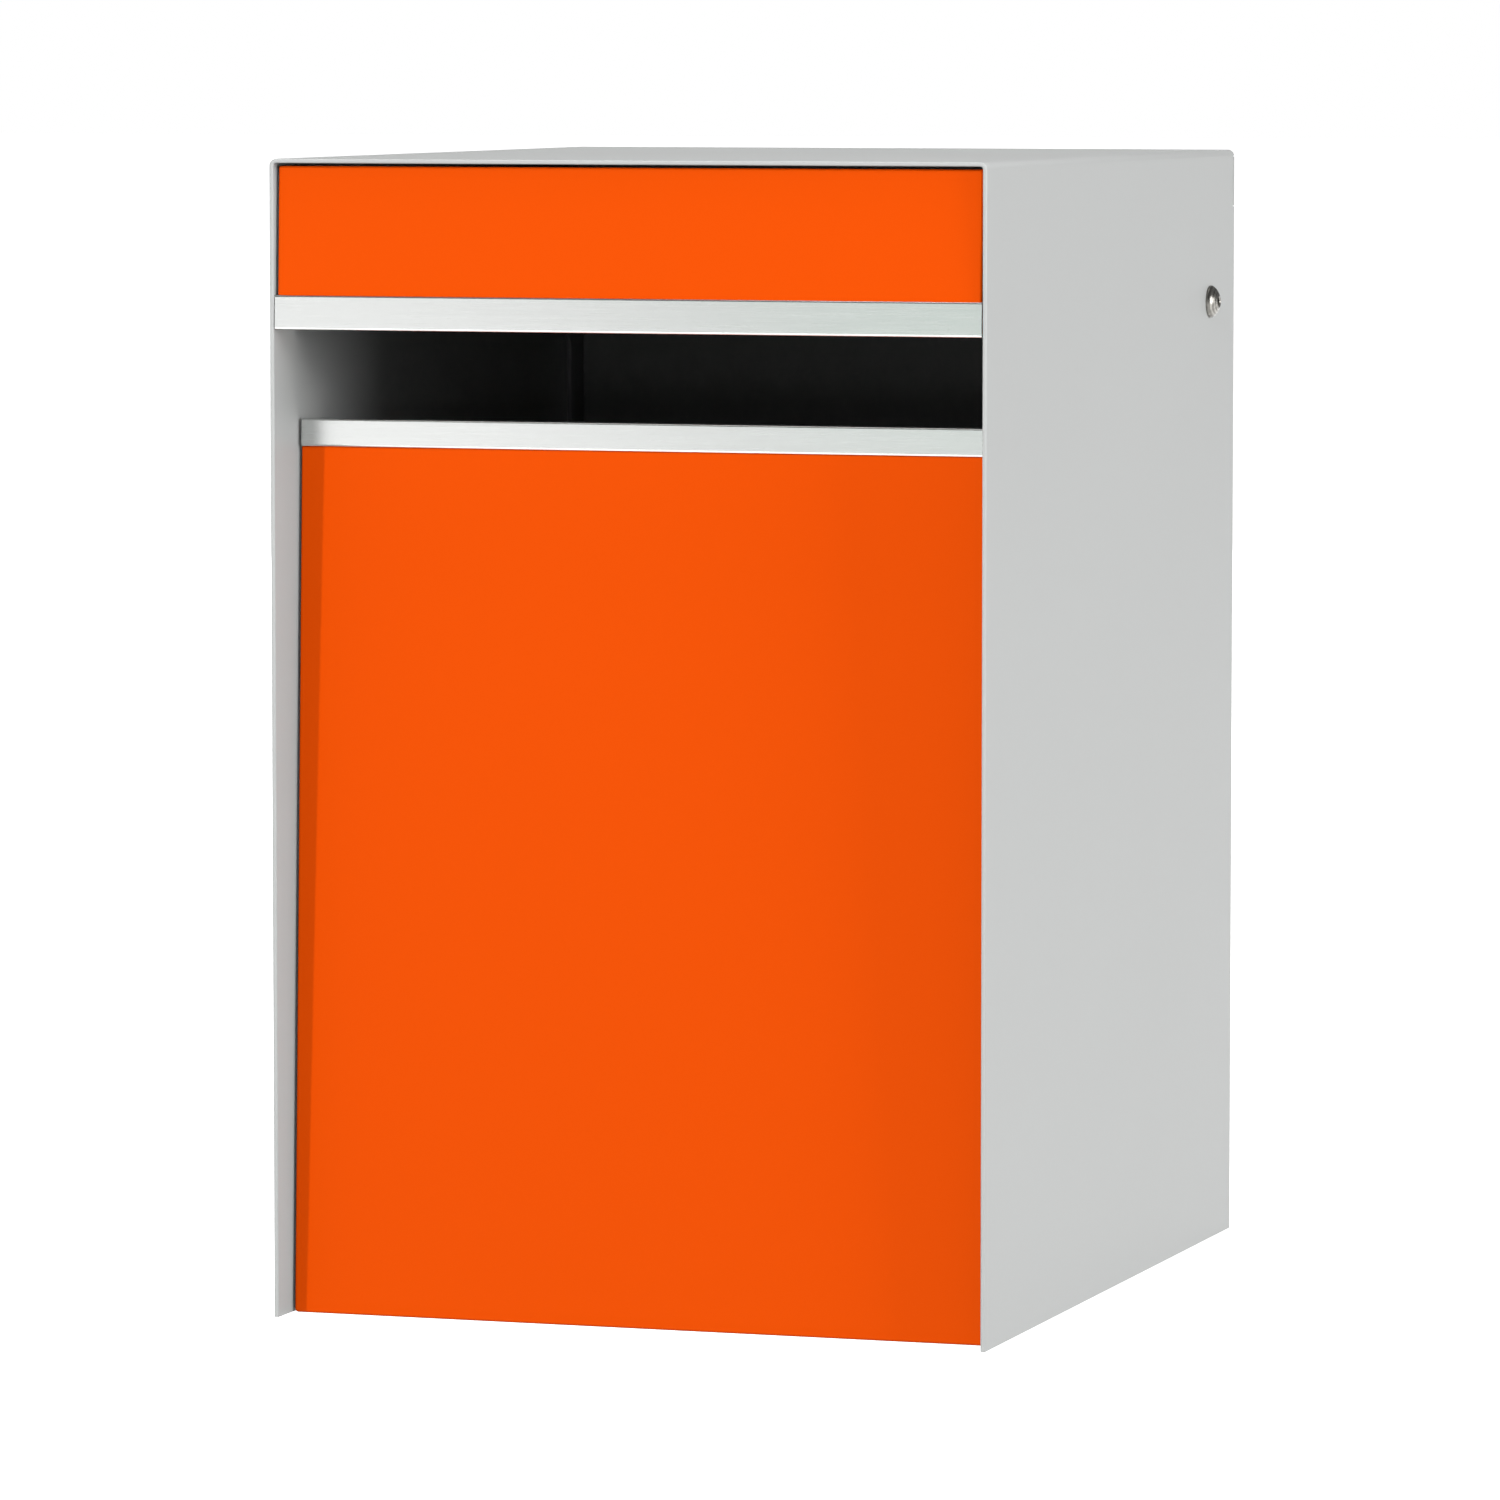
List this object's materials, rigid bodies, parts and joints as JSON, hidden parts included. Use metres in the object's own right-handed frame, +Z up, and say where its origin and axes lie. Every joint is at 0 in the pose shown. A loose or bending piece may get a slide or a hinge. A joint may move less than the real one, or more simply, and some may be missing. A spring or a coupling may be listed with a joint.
{
  "type": "mailbox",
  "caption": "Free-standing sheet-metal mailbox: silver-grey folded casing, orange leaning front panels, stainless-trimmed open letter slot, top-hung rear door with a cam lock.",
  "frame": {"origin": "middle of the underside, in the plane that the mailbox stands on", "axes": "+X to the right of somebody facing the letter slot, +Y from the slot to the rear door, +Z up"},
  "size_m": [0.2576, 0.31, 0.39],
  "materials": {
    "casing_paint": "fine-textured powder coat, silver grey, semi-matt",
    "accent_paint": "powder coat, orange, semi-matt",
    "stainless_trim": "brushed along its length",
    "stainless_screw": "turned",
    "zinc_fixing": "bright zinc plate",
    "lock_chrome": "plated",
    "bush_plastic": "natural nylon",
    "bonding_tape": "foam bonding tape",
    "bumper_rubber": "moulded"
  },
  "bodies": {
    "casing_body": {"casing": "casing_paint", "floor_pan": "casing_paint", "upper_fascia": "accent_paint", "lower_front_panel": "accent_paint", "upper_trim": "stainless_trim", "lower_trim": "stainless_trim", "upper_trim_tape": "bonding_tape", "lower_trim_tape": "bonding_tape", "fascia_studs": "zinc_fixing", "fascia_washers": "zinc_fixing", "fascia_nuts": "zinc_fixing", "panel_studs": "zinc_fixing", "panel_washers": "zinc_fixing", "panel_nuts": "zinc_fixing", "floor_studs": "zinc_fixing", "floor_washers": "zinc_fixing", "floor_nuts": "zinc_fixing", "pivot_screws": "stainless_screw", "pivot_washers": "stainless_screw", "pivot_nuts": "stainless_screw", "door_bumpers": "bumper_rubber"},
    "door_body": {"rear_door": "casing_paint", "pivot_bushes": "bush_plastic", "lock_body": "lock_chrome", "lock_nut": "zinc_fixing"},
    "lock_barrel_body": {"lock_plug": "lock_chrome", "lock_cam": "zinc_fixing", "cam_screw": "zinc_fixing"}
  },
  "joints": [
    {"name": "door_hinge", "type": "hinge", "parent": "casing_body", "child": "door_body", "pos_m": [0, 0.122, 0.3365], "axis": [1, 0, 0], "range_deg": [0, 90]},
    {"name": "lock_turn", "type": "hinge", "parent": "door_body", "child": "lock_barrel_body", "pos_m": [0, 0.1304, 0.045], "axis": [0, 1, 0], "range_deg": [0, 90]}
  ]
}
